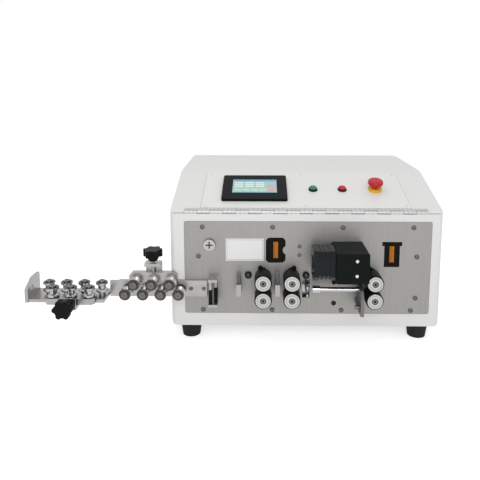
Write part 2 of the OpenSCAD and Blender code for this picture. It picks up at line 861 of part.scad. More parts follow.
// Stud for an idler, along Z: shoulder below the idler, pin and retaining cap
module stud(below) {
    translate([0, 0, -below]) cylinder(d = shoulder_d, h = below - gap);
    translate([0, 0, -below]) cylinder(d = stud_d, h = below + idler_l + gap + past);
    translate([0, 0, idler_l + gap]) cylinder(d = stud_cap_d, h = stud_cap_t);
}

// Places of a row's rollers along the wire, about the straightener's middle
function row_x(middle, count, i) = middle + (i - (count - 1) / 2) * idler_pitch;

// Frames of the idlers: axis towards the front, and axis upwards
module upright_axis(x, z) {
    translate([x, wire_y + idler_l / 2, z]) rotate([90, 0, 0]) children();
}
module level_axis(x, y) {
    translate([x, y, wire_z - idler_l / 2]) children();
}

// Vertical arm along the wire, with a notch for the sliding block and the fixed lower row
module straightener_arm() {
    notch = [upright_x - block_w / 2 - gap, upright_x + block_w / 2 + gap];
    color("lightgray") {
        along_y(-arm_t, 0) polygon([
            [arm_x0, arm_z0], [arm_x1, arm_z0], [arm_x1, arm_z1], [notch[1], arm_z1],
            [notch[1], notch_z], [notch[0], notch_z], [notch[0], arm_z1], [arm_x0 + arm_cut, arm_z1]]);
        for (i = [0:3])
            upright_axis(row_x(upright_x, 4, i), wire_z - idler_offset) stud(idler_back - arm_t);
    }
}

// Sliding block with the upper row, held by the adjusting screw
module upright_block() {
    z0 = notch_z + block_gap;
    bevel = 6;
    color("lightgray") {
        difference() {
            along_y(-idler_back + gap, -gap) polygon([
                [upright_x - block_w / 2, z0], [upright_x + block_w / 2, z0],
                [upright_x + block_w / 2, upright_top_z - bevel],
                [upright_x + block_w / 2 - bevel, upright_top_z],
                [upright_x - block_w / 2 + bevel, upright_top_z],
                [upright_x - block_w / 2, upright_top_z - bevel]]);
            rod_z(upright_x, screw_y, upright_top_z - screw_depth, upright_top_z + past, screw_d + 2 * run_fit);
        }
        for (i = [0:2])
            upright_axis(row_x(upright_x, 3, i), wire_z + idler_offset) stud(gap + past);
    }
}

// Angle behind the arm, with the ledge that the adjusting screw runs in
module upright_bracket() {
    color("silver") {
        block([upright_x - bracket_w / 2, 0, arm_z0 + 4],
              [upright_x + bracket_w / 2, brace_t, ledge_z + ledge_t]);
        difference() {
            block([upright_x - bracket_w / 2, 2 * screw_y - 2, ledge_z],
                  [upright_x + bracket_w / 2, brace_t, ledge_z + ledge_t]);
            rod_z(upright_x, screw_y, ledge_z - past, ledge_z + ledge_t + past, screw_d + 2 * run_fit);
        }
    }
}

// Six-lobed grip on a tapered neck, along Z from the neck's foot
module star_knob() {
    neck_h = knob_h * 0.4;
    lobe_r = knob_d * 0.14;
    cylinder(d1 = knob_d * 0.45, d2 = knob_d * 0.7, h = neck_h);
    translate([0, 0, neck_h]) linear_extrude(knob_h - neck_h) {
        circle(knob_d * 0.4);
        for (turn = [0:60:300]) rotate(turn) translate([knob_d / 2 - lobe_r, 0]) circle(lobe_r);
    }
}

module upright_knob() {
    knob_z = ledge_z + ledge_t + knob_lift;
    color("black") {
        rod_z(upright_x, screw_y, upright_top_z - screw_depth + gap, knob_z + past, screw_d);
        translate([upright_x, screw_y, knob_z]) star_knob();
    }
}

// Horizontal plate with the fixed back row; its tab is bolted behind the arm
module level_plate() {
    notch = [level_x - block_w / 2 - gap, level_x + block_w / 2 + gap];
    x1 = arm_x0 - past;
    tab_x1 = arm_x0 + tab_l;
    color("lightgray") {
        translate([0, 0, level_z0]) linear_extrude(arm_t) polygon([
            [level_x0, level_back_y], [level_x0, prong_y], [notch[0], prong_y],
            [notch[0], level_front_y], [notch[1], level_front_y], [notch[1], prong_y], [x1, prong_y],
            [x1, 0], [tab_x1, 0], [tab_x1, level_back_y]]);
        block([arm_x0, 0, level_z0], [tab_x1, arm_t, arm_z1 - 4]);
        for (i = [0:3])
            level_axis(row_x(level_x, 4, i), wire_y + idler_offset) stud(idler_back - arm_t);
    }
}

// Sliding block with the front row
module level_block() {
    bevel = 5;
    z0 = level_z0 + gap;
    color("lightgray") {
        difference() {
            translate([0, 0, z0]) linear_extrude(wire_z - idler_l / 2 - gap - z0) polygon([
                [level_x - block_w / 2, level_block_y1], [level_x + block_w / 2, level_block_y1],
                [level_x + block_w / 2, level_block_y0 + bevel],
                [level_x + block_w / 2 - bevel, level_block_y0],
                [level_x - block_w / 2 + bevel, level_block_y0],
                [level_x - block_w / 2, level_block_y0 + bevel]]);
            rod_y(level_x, level_screw_z, level_block_y0 - past, level_block_y0 + screw_depth,
                  screw_d + 2 * run_fit);
        }
        for (i = [0:2])
            level_axis(row_x(level_x, 3, i), level_row_y) stud(gap + past);
    }
}

// Angle below the level plate, with the lug that its adjusting screw runs in
module level_bracket() {
    low_y = lug_y - lug_t;
    color("silver") {
        block([level_x - bracket_w / 2, low_y, level_z0 - brace_t],
              [level_x + bracket_w / 2, level_back_y - 4, level_z0]);
        difference() {
            block([level_x - bracket_w / 2, low_y, level_z0 - brace_t],
                  [level_x + bracket_w / 2, lug_y, 2 * level_screw_z - level_z0 + 4]);
            rod_y(level_x, level_screw_z, low_y - past, lug_y + past, screw_d + 2 * run_fit);
        }
    }
}

module level_knob() {
    knob_y = lug_y - lug_t - knob_lift;
    color("black") {
        rod_y(level_x, level_screw_z, knob_y - past, level_block_y0 + screw_depth - gap, screw_d);
        translate([level_x, knob_y, level_screw_z]) rotate([90, 0, 0]) star_knob();
    }
}

// End plate with the hole that the wire enters by
module inlet_plate() {
    z1 = wire_z + inlet_rise;
    y0 = wire_y - inlet_out;
    color("silver") difference() {
        along_x(level_x0 - inlet_t, level_x0) polygon([
            [level_back_y, level_z0], [level_back_y, z1], [wire_y + 8, z1], [y0, wire_z + 4], [y0, level_z0]]);
        rod_x(wire_y, wire_z, level_x0 - inlet_t - past, level_x0 + past, inlet_bore);
    }
}

// Sheet on the slope, with cut-outs for the screen, the buttons and the stop
module control_panel() {
    color("white") on_slope() difference() {
        block([-panel_w / 2, panel_y[0], 0], [panel_w / 2, panel_y[1], panel_t]);
        block([screen_x - screen_box[0] / 2 - gap, screen_y - screen_box[1] / 2 - gap, -past],
              [screen_x + screen_box[0] / 2 + gap, screen_y + screen_box[1] / 2 + gap, panel_t + past]);
        for (x = [button_x[0], button_x[1], stop_x])
            rod_z(x, button_y, -past, panel_t + past, button_barrel_d + 2 * run_fit);
    }
}

module touch_screen() {
    recess = 1;
    color([0.1, 0.1, 0.1]) on_slope() {
        difference() {
            translate([0, 0, panel_t]) linear_extrude(screen_t)
                round_rect([screen_x - screen_w / 2, screen_y - screen_h / 2], [screen_w, screen_h], 4);
            block([screen_x - display_w / 2, screen_y - display_h / 2 + display_up, panel_t + screen_t - recess],
                  [screen_x + display_w / 2, screen_y + display_h / 2 + display_up, panel_t + screen_t + past]);
        }
        block([screen_x - screen_box[0] / 2, screen_y - screen_box[1] / 2, -screen_box[2]],
              [screen_x + screen_box[0] / 2, screen_y + screen_box[1] / 2, panel_t + past]);
    }
}

// Barrel below the panel and ring above it, with a blind bore for the plunger
module switch_body(x, ring_d, ring_t, bore_d) {
    translate([x, button_y, 0]) difference() {
        union() {
            translate([0, 0, -button_barrel_l]) cylinder(d = button_barrel_d, h = button_barrel_l + panel_t + past);
            translate([0, 0, panel_t]) cylinder(d1 = ring_d, d2 = ring_d - 1, h = ring_t);
        }
        translate([0, 0, -button_barrel_l + 4]) cylinder(d = bore_d + 2 * run_fit, h = 2 * button_barrel_l);
    }
}

module button_rings() {
    color([0.1, 0.1, 0.1]) on_slope()
        for (x = button_x) switch_body(x, button_d, button_ring_t, button_cap_d);
}

module stop_collar() {
    color("gold") on_slope() switch_body(stop_x, stop_collar_d, stop_collar_t, stop_stem_d);
}

module button_cap(x) {
    top = panel_t + button_ring_t + 4;
    r = button_cap_d / 2;
    on_slope() translate([x, button_y, 0]) rotate_extrude() polygon([
        [0, -button_barrel_l / 2], [r, -button_barrel_l / 2], [r, top - 1], [r - 1, top], [0, top + 0.4]]);
}

module start_button() {
    color("green") button_cap(button_x[0]);
}

module stop_button() {
    color("firebrick") button_cap(button_x[1]);
}

// Mushroom head on its stem
module emergency_stop() {
    foot = panel_t + stop_collar_t + stop_push + 1;
    r = stop_head_d / 2;
    color("red") on_slope() translate([stop_x, button_y, 0]) {
        translate([0, 0, -button_barrel_l / 2]) cylinder(d = stop_stem_d, h = button_barrel_l / 2 + foot + 1);
        translate([0, 0, foot]) rotate_extrude() polygon(concat(
            [[0, 0], [r * 0.75, 0], [r, 4], [r, 7]],
            [for (a = [15:15:75]) [r * (0.7 + 0.3 * cos(a)), 7 + 4 * sin(a)]], [[0, 11.4]]));
    }
}

// Whole machine, moved so that its box stands over the origin
module place() {
    translate([-frame_x, -frame_y, 0]) children();
}

place() housing();
place() feet();
place() front_plate();
place() bearing_frame();
place() stepper_motors();
place() power_supply();
place() control_board();
place() power_inlet();
place() hinge_fixed_leaf();
place() straightener_arm();
place() upright_bracket();
place() level_plate();
place() level_bracket();
place() inlet_plate();
place() entry_guide();
place() wire_guide(infeed_x);  // infeed_guide
place() wire_guide(middle_x);  // middle_guide
place() blade_guide();
place() swing_motor();
place() swing_gearbox();
place() scale_windows();
place() hood();
place() control_panel();
place() touch_screen();
place() button_rings();
place() stop_collar();
place() hinge_moving_leaf();
place() start_button();
place() stop_button();
place() emergency_stop();
place() swing_arm(feed_1_x, -1);  // feed_arm_1
place() swing_arm(feed_2_x, 1);  // feed_arm_2
place() swing_arm(output_x, -1);  // output_arm
place() lower_roller(feed_1_x);  // feed_roller_1_lower
place() upper_roller(feed_1_x);  // feed_roller_1_upper
place() lower_roller(feed_2_x);  // feed_roller_2_lower
place() upper_roller(feed_2_x);  // feed_roller_2_upper
place() lower_roller(output_x);  // output_roller_lower
place() upper_roller(output_x);  // output_roller_upper
place() blade(1);  // upper_blade
place() blade(-1);  // lower_blade
place() conduit();
place() conduit_bracket();
place() panel_lock();
place() upright_block();
place() upright_knob();
place() level_block();
place() level_knob();
for (i = [1:4])
    place() upright_axis(row_x(upright_x, 4, i - 1), wire_z - idler_offset) idler();
for (i = [1:3])
    place() upright_axis(row_x(upright_x, 3, i - 1), wire_z + idler_offset) idler();
for (i = [1:4])
    place() level_axis(row_x(level_x, 4, i - 1), wire_y + idler_offset) idler();
for (i = [1:3])
    place() level_axis(row_x(level_x, 3, i - 1), level_row_y) idler();
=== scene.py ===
import json
import math

import bmesh
import bpy
from mathutils import Matrix, Vector


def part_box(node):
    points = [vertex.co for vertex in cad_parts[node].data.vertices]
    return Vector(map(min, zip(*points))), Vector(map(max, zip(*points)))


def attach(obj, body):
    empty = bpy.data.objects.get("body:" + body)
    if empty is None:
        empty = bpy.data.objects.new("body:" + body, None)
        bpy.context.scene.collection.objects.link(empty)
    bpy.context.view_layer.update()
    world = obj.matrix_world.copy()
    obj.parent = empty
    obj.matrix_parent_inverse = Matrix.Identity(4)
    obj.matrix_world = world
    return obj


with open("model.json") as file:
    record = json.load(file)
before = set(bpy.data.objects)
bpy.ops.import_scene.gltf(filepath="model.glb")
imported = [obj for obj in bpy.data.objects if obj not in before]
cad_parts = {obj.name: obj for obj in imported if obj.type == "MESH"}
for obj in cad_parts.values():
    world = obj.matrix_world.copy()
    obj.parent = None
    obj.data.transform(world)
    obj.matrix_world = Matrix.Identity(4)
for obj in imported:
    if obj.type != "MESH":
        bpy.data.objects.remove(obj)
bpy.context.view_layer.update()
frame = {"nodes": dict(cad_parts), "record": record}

# Housing: a tub of folded sheet steel with louvred end walls, sprayed with white powder
# coat and baked. Everything else is screwed to it.
coat_white = (0.80, 0.80, 0.79, 1)
grain_height = 0.0004


def painted(name, colour, roughness, grain, depth, shine=0.5):
    paint = bpy.data.materials.new(name)
    paint.use_nodes = True
    nodes, links = paint.node_tree.nodes, paint.node_tree.links
    surface = nodes["Principled BSDF"]
    surface.inputs["Base Color"].default_value = colour
    surface.inputs["Roughness"].default_value = roughness
    surface.inputs["Specular IOR Level"].default_value = shine
    place = nodes.new("ShaderNodeTexCoord")
    speckle = nodes.new("ShaderNodeTexNoise")
    speckle.inputs["Scale"].default_value = grain
    relief = nodes.new("ShaderNodeBump")
    relief.inputs["Strength"].default_value = depth
    relief.inputs["Distance"].default_value = grain_height
    links.new(place.outputs["Object"], speckle.inputs["Vector"])
    links.new(speckle.outputs["Fac"], relief.inputs["Height"])
    links.new(relief.outputs["Normal"], surface.inputs["Normal"])
    return paint


def dress(material, *names):
    for name in names:
        for patch in frame["nodes"][name].material_slots:
            patch.material = material


white_coat = painted("white powder coat", coat_white, roughness=0.42, grain=900, depth=0.12)
dress(white_coat, "housing")
case_low, case_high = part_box("housing")

# Feet: four tapered bumpers of black moulded rubber with a dull, grained skin. Each one is
# screwed to the floor of the tub from inside.
foot_black = painted("moulded foot rubber", (0.014, 0.014, 0.015, 1),
                     roughness=0.78, grain=1400, depth=0.3, shine=0.25)
dress(foot_black, "feet")

# Front plate: a sheet of stainless steel with rounded corners, brushed from top to bottom,
# that closes the front of the tub and carries the wire line.
steel_light = (0.328, 0.318, 0.306, 1)
steel_dark = (0.294, 0.285, 0.274, 1)
scratch_height = 0.0003


def brushed(name, light, dark, roughness, strokes):
    metal = bpy.data.materials.new(name)
    metal.use_nodes = True
    nodes, links = metal.node_tree.nodes, metal.node_tree.links
    surface = nodes["Principled BSDF"]
    surface.inputs["Metallic"].default_value = 1
    surface.inputs["Roughness"].default_value = roughness
    place = nodes.new("ShaderNodeTexCoord")
    stretch = nodes.new("ShaderNodeMapping")
    stretch.inputs["Scale"].default_value = strokes
    scratch = nodes.new("ShaderNodeTexNoise")
    scratch.inputs["Scale"].default_value = 1
    scratch.inputs["Detail"].default_value = 3
    tone = nodes.new("ShaderNodeValToRGB")
    tone.color_ramp.elements[0].color = dark
    tone.color_ramp.elements[0].position = 0.3
    tone.color_ramp.elements[1].color = light
    tone.color_ramp.elements[1].position = 0.7
    relief = nodes.new("ShaderNodeBump")
    relief.inputs["Strength"].default_value = 0.06
    relief.inputs["Distance"].default_value = scratch_height
    links.new(place.outputs["Object"], stretch.inputs["Vector"])
    links.new(stretch.outputs["Vector"], scratch.inputs["Vector"])
    links.new(scratch.outputs["Fac"], tone.inputs["Fac"])
    links.new(tone.outputs["Color"], surface.inputs["Base Color"])
    links.new(scratch.outputs["Fac"], relief.inputs["Height"])
    links.new(relief.outputs["Normal"], surface.inputs["Normal"])
    return metal


plate_steel = brushed("brushed stainless plate", steel_light, steel_dark,
                      roughness=0.52, strokes=(1500, 1500, 22))
dress(plate_steel, "front_plate")
plate_low, plate_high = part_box("front_plate")

# Front plate screws: M5 button heads of dull zinc-plated steel with hexagon sockets, in two rows
# of four and singly near the ends. A smaller pair and a black pair hold parts inside.
screw_r = 0.0045
small_screw_r = 0.0036
row_count = 4
row_end = 0.034
top_inset = 0.011
bottom_inset = 0.0065
column_inset = 0.026
upper_share = 0.625
lower_share = 0.175
small_shares = (0.64, 0.735)
small_inset = 0.001
black_shares = (0.115, 0.345)
smooth_angle = math.radians(35)


def turned(shape, profile, place, sides=24):
    rings = []
    for radius, height in profile:
        ring = []
        for step in range(sides):
            turn = math.tau * step / sides
            reach = radius(turn) if callable(radius) else radius
            spot = Vector((reach * math.cos(turn), reach * math.sin(turn), height))
            ring.append(shape.verts.new(place @ spot))
        rings.append(ring)
    for low, high in zip(rings, rings[1:]):
        for step in range(sides):
            shape.faces.new((low[step - 1], low[step], high[step], high[step - 1]))
    shape.faces.new(rings[0])
    shape.faces.new(rings[-1])


def piece(name, shape, material, body):
    bmesh.ops.recalc_face_normals(shape, faces=shape.faces)
    mesh = bpy.data.meshes.new(name)
    shape.to_mesh(mesh)
    shape.free()
    mesh.polygons.foreach_set("use_smooth", [True] * len(mesh.polygons))
    mesh.set_sharp_from_angle(angle=smooth_angle)
    mesh.materials.append(material)
    made = bpy.data.objects.new(name, mesh)
    bpy.context.collection.objects.link(made)
    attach(made, body)


def hexagon(size):
    def reach(turn):
        return size * math.cos(math.pi / 6) / math.cos(turn % (math.pi / 3) - math.pi / 6)
    return reach


def button_head(shape, place, r, rise):
    dome = [(r, 0), (r, 0.3 * rise), (0.9 * r, 0.7 * rise), (0.7 * r, rise)]
    socket = [(hexagon(0.52 * r), rise), (hexagon(0.5 * r), 0.35 * rise)]
    turned(shape, dome + socket, place)


facing_front = Matrix.Rotation(math.radians(90), 4, "X")
row_step = (plate_high.x - plate_low.x - 2 * row_end) / (row_count - 1)
plate_height = plate_high.z - plate_low.z
screw_spots = [(plate_high.x - column_inset, plate_low.z + upper_share * plate_height),
               (plate_high.x - column_inset, plate_low.z + lower_share * plate_height),
               (plate_low.x + column_inset, plate_low.z + upper_share * plate_height)]
for column in range(row_count):
    spot_x = plate_low.x + row_end + column * row_step
    screw_spots += [(spot_x, plate_low.z + bottom_inset), (spot_x, plate_high.z - top_inset)]
small_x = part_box("feed_roller_2_upper")[1].x - small_inset
small_spots = [(small_x, plate_low.z + share * plate_height) for share in small_shares]
conduit_low, conduit_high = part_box("conduit")
black_x = (conduit_low.x + conduit_high.x) / 2
black_spots = [(black_x, plate_low.z + share * plate_height) for share in black_shares]


def metal_finish(name, colour, roughness):
    metal = painted(name, colour, roughness=roughness, grain=2000, depth=0.04)
    metal.node_tree.nodes["Principled BSDF"].inputs["Metallic"].default_value = 1
    return metal


dull_zinc = metal_finish("dull zinc screw", (0.15, 0.147, 0.144, 1), roughness=0.32)
bright_zinc = metal_finish("bright zinc screw", (0.62, 0.62, 0.63, 1), roughness=0.26)
black_oxide = metal_finish("black oxide screw", (0.03, 0.03, 0.03, 1), roughness=0.4)


def screw_group(name, spots, front_y, r, finish):
    heads = bmesh.new()
    for spot_x, spot_z in spots:
        button_head(heads, Matrix.Translation((spot_x, front_y, spot_z)) @ facing_front, r, r / 2)
    piece(name, heads, finish, "chassis")


screw_group("front_plate_screws", screw_spots, plate_low.y, screw_r, dull_zinc)
screw_group("small_plate_screws", small_spots, plate_low.y, small_screw_r, dull_zinc)
screw_group("black_plate_screws", black_spots, plate_low.y, screw_r, black_oxide)

# Blank plate: thin sheet steel in white enamel with a grey border line, stamped out and glued
# to the left of the first scale window.
label_size = Vector((0.071, 0.043))
label_gap = 0.0002
label_drop = 0.006
label_t = 0.0006
line_inset = 0.0024
line_half = 0.0003
line_proud = 0.0001


def slab(shape, low, high, place=Matrix()):
    corners = [shape.verts.new(place @ Vector((x, y, z)))
               for x in (low[0], high[0]) for y in (low[1], high[1]) for z in (low[2], high[2])]
    for face in ((0, 1, 3, 2), (4, 6, 7, 5), (0, 4, 5, 1), (2, 3, 7, 6), (0, 2, 6, 4), (1, 5, 7, 3)):
        shape.faces.new([corners[corner] for corner in face])


windows_low, windows_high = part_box("scale_windows")
label_high = Vector((windows_low.x - label_gap, plate_low.y, windows_high.z - label_drop))
label_low = label_high - Vector((label_size.x, 0, label_size.y))
enamel = painted("white enamel", (0.83, 0.83, 0.83, 1), roughness=0.3, grain=300, depth=0.02)
border_grey = painted("grey border ink", (0.30, 0.30, 0.31, 1), roughness=0.4, grain=300, depth=0.02)
sheet = bmesh.new()
slab(sheet, (label_low.x, plate_low.y - label_t, label_low.z), (label_high.x, plate_low.y, label_high.z))
piece("bare_label", sheet, enamel, "chassis")
frame_line = bmesh.new()
line_front = plate_low.y - label_t - line_proud
line_back = plate_low.y - label_t / 2
line_start = Vector((label_low.x + line_inset, label_low.z + line_inset))
line_span = label_size - Vector((2 * line_inset, 2 * line_inset))
for left, right, bottom, top in ((0, 1, 0, 0), (0, 1, 1, 1), (0, 0, 0, 1), (1, 1, 0, 1)):
    slab(frame_line, (line_start.x + left * line_span.x - line_half, line_front,
                      line_start.y + bottom * line_span.y - line_half),
         (line_start.x + right * line_span.x + line_half, line_back,
          line_start.y + top * line_span.y + line_half))
piece("label_border", frame_line, border_grey, "chassis")

# Works inside the tub: a milled aluminium bearing frame, four stepper motors in black enamel,
# a boxed power supply, the control board and the mains inlet, screwed to the plate and the walls.
milled = brushed("milled aluminium", (0.72, 0.72, 0.73, 1), (0.62, 0.62, 0.63, 1),
                 roughness=0.38, strokes=(60, 900, 900))
motor_black = painted("black motor enamel", (0.006, 0.008, 0.009, 1),
                      roughness=0.16, grain=700, depth=0.05, shine=0.18)
zinc_sheet = brushed("zinc plated sheet", (0.66, 0.67, 0.68, 1), (0.56, 0.57, 0.58, 1),
                     roughness=0.4, strokes=(160, 160, 160))
board_green = painted("green solder mask", (0.01, 0.16, 0.06, 1), roughness=0.35, grain=400, depth=0.2)
black_plastic = painted("grained black plastic", (0.0045, 0.0045, 0.005, 1),
                        roughness=0.46, grain=1500, depth=0.15, shine=0.09)
dress(milled, "bearing_frame")
dress(motor_black, "stepper_motors")
dress(zinc_sheet, "power_supply")
dress(board_green, "control_board")
dress(black_plastic, "power_inlet")

# Feed arms and their pivots: black anodised aluminium levers behind the plate, with a round
# shield and an ear for the lifting spring in front of it. A blackened socket screw holds each
# pivot bolt.
anodised = painted("black anodised aluminium", (0.007, 0.010, 0.009, 1),
                   roughness=0.46, grain=800, depth=0.1, shine=0.05)
blackened = metal_finish("blackened pivot screw", (0.06, 0.06, 0.06, 1), roughness=0.34)
joints = {joint["name"]: joint for joint in frame["record"]["behaviour"]["joints"]}
pivot_reach = 0.0039
pivot_screw_r = 0.0042
pivot_screw_rise = 0.0012
for arm in ("feed_arm_1", "feed_arm_2", "output_arm"):
    dress(anodised, arm)
    pivot = Vector(joints[arm + "_swing"]["pos_m"])
    on_bolt = Matrix.Translation((pivot.x, plate_low.y - pivot_reach, pivot.z)) @ facing_front
    bolt_head = bmesh.new()
    button_head(bolt_head, on_bolt, pivot_screw_r, pivot_screw_rise)
    piece(arm + "_pivot_screw", bolt_head, blackened, arm)

# Feed rollers: hardened steel wheels with blackened, knurled rims that grip the wire. A turned
# bright cap closes each one in front, held by a socket screw.
knurls = 70
knurl_height = 0.0004
ring_scale = 60
cap_proud = 0.0014
screw_head_r = 0.0044
screw_seat_r = 0.0057
rim_black = (0.012, 0.013, 0.013, 1)
cap_light = (0.52, 0.52, 0.51, 1)
cap_dark = (0.36, 0.353, 0.347, 1)
head_grey = (0.19, 0.187, 0.184, 1)
# Painted shade: a dark ring around each cap's screw head stands for the shade in the screw's seat.
seat_shade = (0.02, 0.02, 0.02, 1)


def added(nodes, kind, **settings):
    node = nodes.new("ShaderNode" + kind)
    for setting, value in settings.items():
        setattr(node, setting, value)
    return node


def roller_finish(name):
    metal = bpy.data.materials.new(name.replace("_", " ") + " steel")
    metal.use_nodes = True
    nodes, links = metal.node_tree.nodes, metal.node_tree.links
    low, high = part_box(name)
    roller_r = (high.x - low.x) / 2
    place = nodes.new("ShaderNodeTexCoord")
    centred = added(nodes, "VectorMath", operation="SUBTRACT")
    centred.inputs[1].default_value = (low.x + roller_r, low.y, low.z + roller_r)
    axes = nodes.new("ShaderNodeSeparateXYZ")
    in_front = added(nodes, "Math", operation="LESS_THAN")
    in_front.inputs[1].default_value = cap_proud
    angle = added(nodes, "Math", operation="ARCTAN2")
    teeth = added(nodes, "Math", operation="MULTIPLY")
    teeth.inputs[1].default_value = knurls
    ridge = added(nodes, "Math", operation="SINE")
    rings = added(nodes, "TexWave", wave_type="RINGS", rings_direction="Y")
    rings.inputs["Scale"].default_value = ring_scale
    rings.inputs["Distortion"].default_value = 1.5
    groove = added(nodes, "Mix", data_type="FLOAT")
    colour = added(nodes, "Mix", data_type="RGBA")
    colour.inputs[6].default_value = rim_black
    cap_tone = nodes.new("ShaderNodeValToRGB")
    cap_tone.color_ramp.elements[0].color = cap_dark
    cap_tone.color_ramp.elements[1].color = cap_light
    flat = added(nodes, "VectorMath", operation="MULTIPLY")
    flat.inputs[1].default_value = (1, 0, 1)
    reach = added(nodes, "VectorMath", operation="LENGTH")
    seat = added(nodes, "Math", operation="GREATER_THAN")
    seat.inputs[1].default_value = screw_seat_r
    head = added(nodes, "Math", operation="LESS_THAN")
    head.inputs[1].default_value = screw_head_r
    # Painted shade: between the head and the seat radius the cap is coloured dark.
    head_colour = added(nodes, "Mix", data_type="RGBA")
    head_colour.inputs[6].default_value = seat_shade
    head_colour.inputs[7].default_value = head_grey
    cap_colour = added(nodes, "Mix", data_type="RGBA")
    relief = nodes.new("ShaderNodeBump")
    relief.inputs["Strength"].default_value = 0.35
    relief.inputs["Distance"].default_value = knurl_height
    surface = nodes["Principled BSDF"]
    surface.inputs["Roughness"].default_value = 0.33
    surface.inputs["Specular IOR Level"].default_value = 0.04
    links.new(place.outputs["Object"], centred.inputs[0])
    links.new(centred.outputs["Vector"], axes.inputs["Vector"])
    links.new(centred.outputs["Vector"], rings.inputs["Vector"])
    links.new(axes.outputs["Y"], in_front.inputs[0])
    links.new(axes.outputs["Z"], angle.inputs[0])
    links.new(axes.outputs["X"], angle.inputs[1])
    links.new(angle.outputs["Value"], teeth.inputs[0])
    links.new(teeth.outputs["Value"], ridge.inputs[0])
    links.new(in_front.outputs["Value"], groove.inputs[0])
    links.new(ridge.outputs["Value"], groove.inputs[2])
    links.new(rings.outputs["Fac"], groove.inputs[3])
    links.new(groove.outputs[0], relief.inputs["Height"])
    links.new(rings.outputs["Fac"], cap_tone.inputs["Fac"])
    links.new(in_front.outputs["Value"], colour.inputs[0])
    links.new(centred.outputs["Vector"], flat.inputs[0])
    links.new(flat.outputs["Vector"], reach.inputs[0])
    links.new(reach.outputs["Value"], seat.inputs[0])
    links.new(reach.outputs["Value"], head.inputs[0])
    links.new(head.outputs["Value"], head_colour.inputs[0])
    links.new(seat.outputs["Value"], cap_colour.inputs[0])
    links.new(head_colour.outputs[2], cap_colour.inputs[6])
    links.new(cap_tone.outputs["Color"], cap_colour.inputs[7])
    links.new(cap_colour.outputs[2], colour.inputs[7])
    links.new(colour.outputs[2], surface.inputs["Base Color"])
    links.new(in_front.outputs["Value"], surface.inputs["Metallic"])
    links.new(relief.outputs["Normal"], surface.inputs["Normal"])
    dress(metal, name)


for pair in ("feed_roller_1", "feed_roller_2", "output_roller"):
    roller_finish(pair + "_lower")
    roller_finish(pair + "_upper")

# Blades and their guide: ground tool-steel blades with a vee over the wire, clamped to holders
# that slide up and down in a milled guide behind the plate.
ground_light = (0.46, 0.46, 0.467, 1)
ground_dark = (0.38, 0.38, 0.387, 1)
ground_steel = brushed("ground tool steel", ground_light, ground_dark,
                       roughness=0.27, strokes=(500, 40, 900))
milled_light = (0.41, 0.403, 0.393, 1)
milled_dark = (0.34, 0.333, 0.323, 1)
milled_steel = brushed("milled bright steel", milled_light, milled_dark,
                       roughness=0.3, strokes=(35, 700, 700))
dress(ground_steel, "upper_blade", "lower_blade")
dress(milled_steel, "blade_guide")

# Wire guides: two milled steel blocks with a bore for the wire, one before the first feed rollers
# and one between the two pairs. A spring of dull wire stands on each block.
guide_steel = (0.37, 0.363, 0.356, 1)
spring_grey = (0.17, 0.17, 0.17, 1)
block_half = 0.011


def two_tones(name, axis, facing, limit, inside, outside, inside_metal=0, roughness=0.4):
    both = bpy.data.materials.new(name.replace("_", " ") + " in two tones")
    both.use_nodes = True
    nodes, links = both.node_tree.nodes, both.node_tree.links
    place = nodes.new("ShaderNodeTexCoord")
    axes = nodes.new("ShaderNodeSeparateXYZ")
    side = added(nodes, "Math", operation=facing)
    side.inputs[1].default_value = limit
    colour = added(nodes, "Mix", data_type="RGBA")
    colour.inputs[6].default_value = outside
    colour.inputs[7].default_value = inside
    metal = nodes.new("ShaderNodeMapRange")
    metal.inputs["To Min"].default_value = 1
    metal.inputs["To Max"].default_value = inside_metal
    surface = nodes["Principled BSDF"]
    surface.inputs["Roughness"].default_value = roughness
    surface.inputs["Specular IOR Level"].default_value = 0.1
    links.new(place.outputs["Object"], axes.inputs["Vector"])
    links.new(axes.outputs[axis], side.inputs[0])
    links.new(side.outputs["Value"], colour.inputs[0])
    links.new(side.outputs["Value"], metal.inputs["Value"])
    links.new(colour.outputs[2], surface.inputs["Base Color"])
    links.new(metal.outputs["Result"], surface.inputs["Metallic"])
    dress(both, name)


wire_z = (conduit_low.z + conduit_high.z) / 2
for name in ("infeed_guide", "middle_guide"):
    two_tones(name, "Z", "GREATER_THAN", wire_z + block_half, spring_grey, guide_steel)

# Swing conduit: a drawn steel tube, polished, that carries the wire from the blades to the
# output rollers, pressed into a milled bracket that tips about a pin. The bracket is coloured
# black above the tube.
polished_tube = metal_finish("polished steel tube", (0.46, 0.46, 0.467, 1), roughness=0.16)
dress(polished_tube, "conduit")
bracket_black = (0.03, 0.03, 0.03, 1)
bracket_steel = (0.17, 0.167, 0.164, 1)
black_rise = 0.003
two_tones("conduit_bracket", "Z", "GREATER_THAN", wire_z + black_rise, bracket_black, bracket_steel)

# Swing drive: a ribbed motor with black enamel on a black gearbox, screwed to the plate above
# the conduit. Two bright socket screws hold the gearbox cover.
dress(motor_black, "swing_motor")
dress(anodised, "swing_gearbox")
box_low, box_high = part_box("swing_gearbox")
box_size = box_high - box_low
lid_screw_r = 0.0033
lid_across = 0.62
lid_shares = (0.27, 0.76)
lid_x = box_low.x + lid_across * box_size.x
lid_spots = [(lid_x, box_low.z + share * box_size.z) for share in lid_shares]
screw_group("gearbox_cover_screws", lid_spots, box_low.y, lid_screw_r, bright_zinc)

